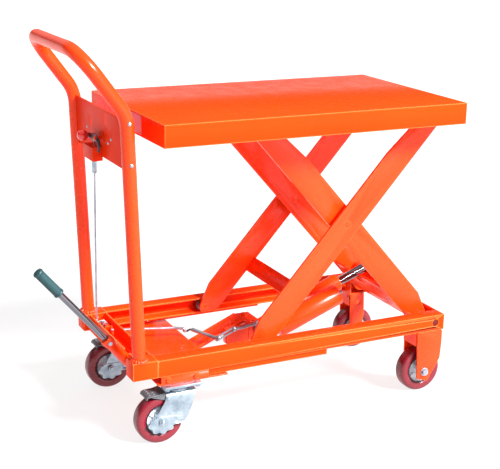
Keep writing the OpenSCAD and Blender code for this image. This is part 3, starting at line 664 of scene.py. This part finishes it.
def pedal(side_name, m):
    """A curved tread with a rolled lip and round studs, on two cheeks."""
    path = [(-88, 126.5), (-87.6, 130), (-85.5, 133.2), (-80, 135), (-66, 135.2), (-54, 136.4),
            (-45, 138.6), (-40, 139.4)]
    rings = []
    for x, z in path:
        half = 25.5 - 2.5 * max(0, (-x - 78) / 10)
        row = []
        for k in range(9):
            y = -half + 2 * half * k / 8
            row.append((x, y, z - 0.004 * y * y))
        rings.append(row)
    body = "pedal_" + side_name
    tread = piece("pedal_tread_" + side_name, Shape().grid(rings, closed_ring=False, caps=False, m=m),
                  body, "black", ["brake_pedal_" + side_name], angle=70)
    thick = tread.modifiers.new("wall", "SOLIDIFY")
    thick.thickness = 4.2 * MM
    thick.offset = 0
    soft = tread.modifiers.new("moulded_edges", "BEVEL")
    soft.width = 1.4 * MM
    soft.segments = 3
    soft.limit_method = "ANGLE"
    soft.angle_limit = math.radians(60)
    studs = Shape()
    for i in range(3):
        for j in range(4):
            x, y = -80 + 11.5 * i, -16.5 + 11 * j
            z = 137.1 - 0.004 * y * y + 0.4 * i
            studs.lathe([(-1, 3.3), (0.6, 3.1), (1.5, 2.2), (1.8, 0.01), (-1, 0.01)],
                        m @ Matrix.Translation((x, y, z)), 20)
    piece("pedal_studs_" + side_name, studs, body, "black", angle=40)
    cheeks = Shape()
    outline = wrap([(-33, 122, 6), (-44, 135, 3.5), (-72, 130.5, 2.5)], 6)
    bore = [(-33 + 3.1 * math.cos(a), 122 + 3.1 * math.sin(a)) for a in
            [2 * math.pi * k / 20 for k in range(20)]]
    for y in (-20.2, 23.0):
        cheeks.extrude(outline, 0, 2.8, m @ upright(y))
        cheeks.extrude(bore, -0.2, 3.0, m @ upright(y))
    piece("pedal_cheeks_" + side_name, cheeks, body, "black", bevel=0.6, angle=40)


for side_name, s in SIDES:
    caster(side_name, s)

# ---------- hydraulic cylinder ----------

RAM_PIN = (395.0, 176.6)
RAM_ANGLE = math.radians(20.76)
RAM_Y, TANK_Y = 27.0, -33.0


def ram_matrix(y):
    return place(RAM_PIN[0], y, RAM_PIN[1], (math.cos(RAM_ANGLE), 0, math.sin(RAM_ANGLE)))


def hydraulics():
    m = ram_matrix(RAM_Y)
    barrel = Shape()
    barrel.lathe([(33, 0.01), (33, 17), (35, 21.5), (38, 23.4), (41, 24.6), (43.5, 24.6), (45, 24),
                  (250, 24), (251, 24.9), (266.4, 24.9), (268, 23.4), (268, 15.2), (266.4, 14.4),
                  (266.4, 12.15), (260, 12.15), (260, 0.01)], m, 80)
    barrel.extrude(wrap([(0, 0, 13), (36, 13, 2), (36, -13, 2)][::-1], 10)[::-1], -12, 12,
                   Matrix.Translation((RAM_PIN[0], RAM_Y, RAM_PIN[1]))
                   @ Matrix.Rotation(-RAM_ANGLE, 4, "Y") @ FLAT)
    piece("cylinder_tube", barrel, "cylinder", "orange_paint", ["cylinder_barrel"], angle=40)
    pin = Shape()
    pin.lathe([(-25.2, 0.01), (-25.2, 6.6), (-24.4, 7.6), (24.4, 7.6), (25.2, 6.6), (25.2, 0.01)],
              place(RAM_PIN[0], RAM_Y, RAM_PIN[1], (0, 1, 0)), 32)
    piece("cylinder_pin", pin, "cylinder", "steel", angle=40)
    seal = Shape().lathe([(266.2, 12.2), (266.2, 14.6), (269.4, 14.2), (269.8, 12.9), (269.4, 12.2)], m, 48)
    piece("rod_wiper", seal, "cylinder", "black", angle=40)
    t = ram_matrix(TANK_Y)
    tank = Shape().lathe([(29, 0.01), (29, 22), (30, 26.5), (33, 29), (228, 29), (231, 27.5),
                          (232, 24), (232, 0.01)], t, 80)
    for x in (60, 190):
        tank.extrude([(x, -10), (x + 25, -10), (x + 25, 10), (x, 10)], 26, 37.5,
                     Matrix.Translation((RAM_PIN[0], TANK_Y, RAM_PIN[1]))
                     @ Matrix.Rotation(-RAM_ANGLE, 4, "Y")
                     @ Matrix.Rotation(math.radians(-90), 4, "X") @ Matrix.Scale(1, 4))
    piece("oil_tank_tube", tank, "cylinder", "orange_paint", ["oil_tank"], bevel=0.6, angle=40)
    fittings = Shape()
    fittings.hexagon(19, 9, t @ Matrix.Translation((0, 0, 231.5)))
    fittings.lathe([(240, 0.01), (240, 5), (247, 5), (248, 4), (248, 0.01)], t, 24)
    piece("tank_plug", fittings, "cylinder", "zinc", bevel=0.4, angle=30)


hydraulics()

# ---------- name plate ----------


def name_plate():
    lo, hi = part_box("name_plate")
    x = (hi.x - ORIGIN_X) / MM
    y0, y1, z0, z1 = (v / MM for v in (lo.y, hi.y, lo.z, hi.z))
    outline = wrap([(y0 + 3, z0 + 3, 3), (y1 - 3, z0 + 3, 3), (y1 - 3, z1 - 3, 3), (y0 + 3, z1 - 3, 3)])
    side = Matrix(((0, 0, -1, x), (1, 0, 0, 0), (0, 1, 0, 0), (0, 0, 0, 1)))
    shape = Shape().extrude(outline, 0.05, 0.8, side)
    piece("blank_plate", shape, "table", "plate", ["name_plate"], bevel=0.25)
    rivets = Shape()
    for y in (y0 + 5, y1 - 5):
        for z in (z0 + 5, z1 - 5):
            rivets.lathe([(0.4, 0.01), (0.4, 2.2), (1.2, 1.9), (1.7, 0.9), (1.8, 0.01)],
                         place(x, y, z, (-1, 0, 0)), 18)
    piece("plate_rivets", rivets, "table", "zinc", angle=40)


name_plate()

# ---------- release lever and linkage ----------

RELEASE_UP = 528.0
RELEASE_Y, RELEASE_PIN_Y = 20.0, -22.0


def release_parts():
    knob = place(*leg_point(RELEASE_Y + 16, RELEASE_UP - 2, 35), leg_axis())
    ball = Shape()
    steps = 24
    profile = []
    for k in range(steps + 1):
        a = math.radians(-70 + 160 * k / steps)
        profile.append((14 * math.sin(a), max(14 * math.cos(a), 0.01)))
    profile = [(-15.5, 0.01), (-15.5, 5.5), (-14.5, 6.2)] + profile
    ball.lathe(profile, knob, 48)
    piece("release_ball", ball, "release_lever", "red_knob", ["release_knob"], angle=50)


def leg_axis():
    """Outward direction of the handle plane, towards the pusher."""
    return (-math.cos(LEAN), 0, -math.sin(LEAN))


release_parts()


def release_hook():
    """Flat lever on its pin, with a hooked tail that hangs beside the bracket."""
    bar = wrap([(RELEASE_PIN_Y, RELEASE_UP, 9), (RELEASE_Y + 16, RELEASE_UP - 2, 6)], 12)
    plate = Shape()
    for out in (17.2, 20.8):
        plate.verts += [Vector(leg_point(y, up, out)) for y, up in bar]
    n = len(bar)
    plate.faces += [list(range(n)), list(range(2 * n - 1, n - 1, -1))]
    plate.faces += [[k, (k + 1) % n, n + (k + 1) % n, n + k][::-1] for k in range(n)]
    piece("release_lever_plate", plate, "release_lever", "steel", ["release_lever"], bevel=0.5)
    tail = [(RELEASE_PIN_Y - 2, RELEASE_UP), (RELEASE_PIN_Y - 13, RELEASE_UP - 4),
            (RELEASE_PIN_Y - 17, RELEASE_UP - 20), (RELEASE_PIN_Y - 9, RELEASE_UP - 33)]
    path = dense(fillet([leg_point(y, up, 19) for y, up in tail], [7, 9], 8), 3)
    hook = Shape().sweep(path, lambda i: 5.2 - 2.0 * i / len(path), 16, squash=0.6)
    piece("release_hook", hook, "release_lever", "steel", material=DARK_STEEL, angle=50)
    screws = Shape()
    for y, up in ((-83, 534), (-60, 520), (96, 534)):
        head = place(*leg_point(y, up, 2), leg_axis())
        screws.lathe([(-0.5, 0.01), (-0.5, 3.6), (1.0, 3.5), (2.2, 2.4), (2.5, 0.01)], head, 20)
    piece("plate_screws", screws, "base", "zinc", angle=40)


release_hook()


CRANK_TIP = (-21, 112, 196)
HOOK_END = (161, 74, 188)
CLEVIS_PIN = (236, -46, 188)
VALVE_EYE = (352, -54.6, 218)


def tie_linkage():
    """Rod from the crank, hooked link, slotted clevis and the end bar to the valve lever."""
    rod = Shape()
    line = fillet([(-22, 112, 196), HOOK_END, (186, 63, 186.5), (189, 61, 177)], [30, 5], 8)
    rod.sweep(dense(line, 12), 3.9, 20)
    rod.lathe([(-2, 2.6), (-2, 6.6), (2, 6.6), (2, 2.6)], place(*CRANK_TIP, (0, 1, 0)), 28)
    rod.lathe([(-1, 0.01), (-1, 2.4), (9.6, 2.4), (9.6, 0.01)], place(*CRANK_TIP, (0, 1, 0)), 20)
    piece("tie_rod_bar", rod, "tie_rod", "zinc", ["tie_rod"], angle=50)
    link = Shape()
    link.sweep(dense([(203, 50, 186), CLEVIS_PIN], 8), 5.4, 20, squash=0.62)
    link.lathe([(-6, 0.01), (-6, 4.6), (6, 4.6), (7, 3.6), (7, 0.01)], place(*CLEVIS_PIN), 24)
    piece("tie_link", link, "tie_rod", "zinc", angle=50)
    wire = fillet([(184, 66, 179), (191, 60, 178), (200, 56, 184), (206, 48, 186)], [4, 6], 6)
    piece("tie_hook", Shape().sweep(dense(wire, 3), 2.6, 14), "tie_rod", "steel",
          material=DARK_STEEL, angle=50)
    clevis = Shape()
    start, end = Vector((240, -46.5, 190)), Vector((284, -50, 210))
    run = (end - start).normalized()
    side = Vector((-run.z, 0, run.x)) * 4.8
    for sign in (-1, 1):
        clevis.sweep(dense([start + side * sign, end + side * sign], 6), 2.5, 14)
    for p in (start, end):
        clevis.lathe([(-4.5, 0.01), (-4.5, 6.6), (-3.8, 7.4), (3.8, 7.4), (4.5, 6.6), (4.5, 0.01)],
                     place(*p, run), 28)
    clevis.sweep(dense([end, (302, -54, 212), (350, -54.5, 218)], 8), 4.4, 18, squash=0.5)
    clevis.lathe([(-1.8, 2.6), (-1.8, 6.2), (1.8, 6.2), (1.8, 2.6)], place(*VALVE_EYE, (0, 1, 0)), 24)
    piece("tie_clevis", clevis, "tie_rod", "zinc", angle=50)


tie_linkage()


CLAMP_ALONG = 90


def lever_socket():
    """Knuckle on the lever's pin and a turned socket with a collar and clamp screw."""
    shape = Shape()
    shape.lathe([(9, 0.01), (9, 11.5), (12, 13.0), (16, 13.5), (80, 13.5), (82, 15), (84, 15.6),
                 (97, 15.6), (99.4, 14.6), (100, 13), (100, 8.05), (30, 8.05), (30, 0.01)],
                lever_matrix(0), 48)
    knuckle = place(*LEVER_PIN, (0, 1, 0))
    shape.lathe([(-13, 5.1), (-13, 13), (-12, 14), (12, 14), (13, 13), (13, 5.1)], knuckle, 48)
    piece("lever_socket_turned", shape, "foot_lever", "orange_paint", ["lever_socket"], angle=40)
    clamp = Shape()
    clamp.hexagon(10, 6, place(*(lever_point(CLAMP_ALONG) + Vector((0, -14.6, 0))), (0, -1, 0)))
    piece("lever_clamp_screw", clamp, "foot_lever", "zinc", bevel=0.3, angle=30)
    tail = Shape().extrude(wrap([(-20, 0, 5), (0, -8, 5), (0, 8, 5)], 8), -6, 6,
                           Matrix.Translation(LEVER_PIN) @ Matrix.Rotation(math.pi + LEVER_ANGLE, 4, "Y")
                           @ FLAT)
    piece("lever_tail", tail, "foot_lever", "orange_paint", bevel=0.8, angle=30)


lever_socket()


def bolts():
    """Axle bolts, caster bolts and handle screws in zinc, and the painted bracket bolts."""
    zinc, painted = Shape(), Shape()
    for _, s in SIDES:
        outer = place(FRONT[0], s * 214.1, AXLE_Z, (0, s, 0))
        inner = place(FRONT[0], s * 145.9, AXLE_Z, (0, -s, 0))
        zinc.lathe([(-77, 5.9), (0, 5.9), (0, 0.01), (-77, 0.01)], outer, 28)
        for m, nut in ((outer, 7.0), (inner, 8.5)):
            zinc.washer(6.1, 12.2, 0, 1.5, m)
            zinc.hexagon(17, nut, m @ Matrix.Translation((0, 0, 1.5)))
        for x in (27, 102):
            m = place(x, s * 214.1, 171, (0, s, 0))
            painted.washer(0.01, 8.6, 0, 1.1, m)
            painted.hexagon(12, 4.6, m @ Matrix.Translation((0, 0, 1.1)))
        for x in (CASTER[0] - 38, CASTER[0] + 44):
            for y in (-32, 32):
                m = place(x, s * CASTER[1] + y, 152, (0, 0, -1))
                zinc.washer(0.01, 9.2, 0, 1.2, m)
                zinc.hexagon(13, 5.0, m @ Matrix.Translation((0, 0, 1.2)))
        for up in (496, 594.5):
            m = place(*leg_point(s * (LEG_Y + TUBE_R), up), (0, s, 0))
            zinc.lathe([(-0.6, 0.01), (-0.6, 5.0), (0.6, 5.0), (2.2, 4.2), (3.2, 2.4), (3.4, 0.01)], m, 24)
    piece("zinc_bolts", zinc, "base", "zinc", ["frame_bolts"], bevel=0.3, angle=30)
    piece("painted_bolts", painted, "base", "orange_paint", bevel=0.4, angle=30)


bolts()
# The pivot shaft's recessed end is given the painted shade.
finish_mesh(frame["nodes"]["base_pivot_shaft"], RECESS_SHADE_PAINT, 30, 0.0)
# Table top, rails and handle crossbeam take the paint with the wider painted edge highlight.
for node in ("table_top", "base_rail_near", "base_rail_far", "handle_crossbeam"):
    finish_mesh(frame["nodes"][node], WIDE_HIGHLIGHT_PAINT, 30, 0.0)
# Handle plate and release bracket take the darker copy: painted shade.
for node in ("handle_plate", "release_bracket"):
    finish_mesh(frame["nodes"][node], SHADED_MATTE_PAINT, 30, 0.0)

# ---------- stage and light ----------


def floor_material():
    """A pale floor that also gives off light, so that shadows on it stay faint."""
    n = Nodes("floor_pale")
    cloud = n.ramp(n.noise(1.5, 3.0), 0.3, 0.7, 0.0, 1.0)
    colour = n.mix(cloud, (0.20, 0.20, 0.201), (0.19, 0.19, 0.191))
    roughness = n.ramp(n.noise(8.0, 3.0), 0.3, 0.7, 0.55, 0.7)
    return n.done(colour, roughness, n.bump(n.noise(90.0, 2.0), 0.02, 0.001), Specular_IOR_Level=0.1,
                  Emission_Color=(1, 1, 1, 1), Emission_Strength=0.82)


def stage():
    size = 60.0
    data = bpy.data.meshes.new("floor")
    corners = [(-size, -size, 0), (size, -size, 0), (size, size, 0), (-size, size, 0)]
    data.from_pydata(corners, [], [(0, 1, 2, 3)])
    floor = bpy.data.objects.new("floor", data)
    scene.collection.objects.link(floor)
    data.materials.append(floor_material())


def sun(name, direction, strength, spread):
    data = bpy.data.lights.new(name, "SUN")
    data.energy = strength
    data.angle = math.radians(spread)
    obj = bpy.data.objects.new(name, data)
    obj.rotation_euler = Vector(direction).to_track_quat("Z", "Y").to_euler()
    scene.collection.objects.link(obj)


def softbox(name, position, target, size, power):
    data = bpy.data.lights.new(name, "AREA")
    data.shape = "RECTANGLE"
    data.size, data.size_y = size
    data.energy = power
    obj = bpy.data.objects.new(name, data)
    obj.location = position
    back = Vector(position) - Vector(target)
    obj.rotation_euler = back.to_track_quat("Z", "Y").to_euler()
    scene.collection.objects.link(obj)


def lights():
    """A sky that is bright overhead and at the horizon and dark between, a key sun and softboxes."""
    world = bpy.data.worlds.new("studio")
    world.use_nodes = True
    tree = world.node_tree
    background = tree.nodes["Background"]
    coord = tree.nodes.new("ShaderNodeTexCoord")
    split = tree.nodes.new("ShaderNodeSeparateXYZ")
    tree.links.new(coord.outputs["Generated"], split.inputs[0])
    height = split.outputs["Z"]
    total = tree.nodes.new("ShaderNodeMath")
    total.operation = "ADD"
    tree.links.new(map_range(tree, height, 0.38, 1.0, 0.05, 0.9), total.inputs[0])
    tree.links.new(map_range(tree, height, 0.07, 0.12, 1.05, 0.0), total.inputs[1])
    tree.links.new(total.outputs[0], background.inputs["Strength"])
    background.inputs["Color"].default_value = (1, 1, 1, 1)
    scene.world = world
    sun("key", (0.42, -0.66, 0.62), 10.6, 16)
    softbox("front_panel", (0.9, -3.1, 1.0), (0, 0, 0.5), (3.0, 1.6), 22)
    sun("fill", (-0.90, -0.30, 0.30), 0.16, 50)
    softbox("side_panel", (2.6, -1.2, 1.5), (0, 0, 0.5), (1.2, 2.4), 10)
    softbox("back_panel", (-0.6, 2.6, 2.2), (0, 0, 0.5), (2.4, 1.4), 6)


stage()
lights()
scene.view_settings.view_transform = "Standard"
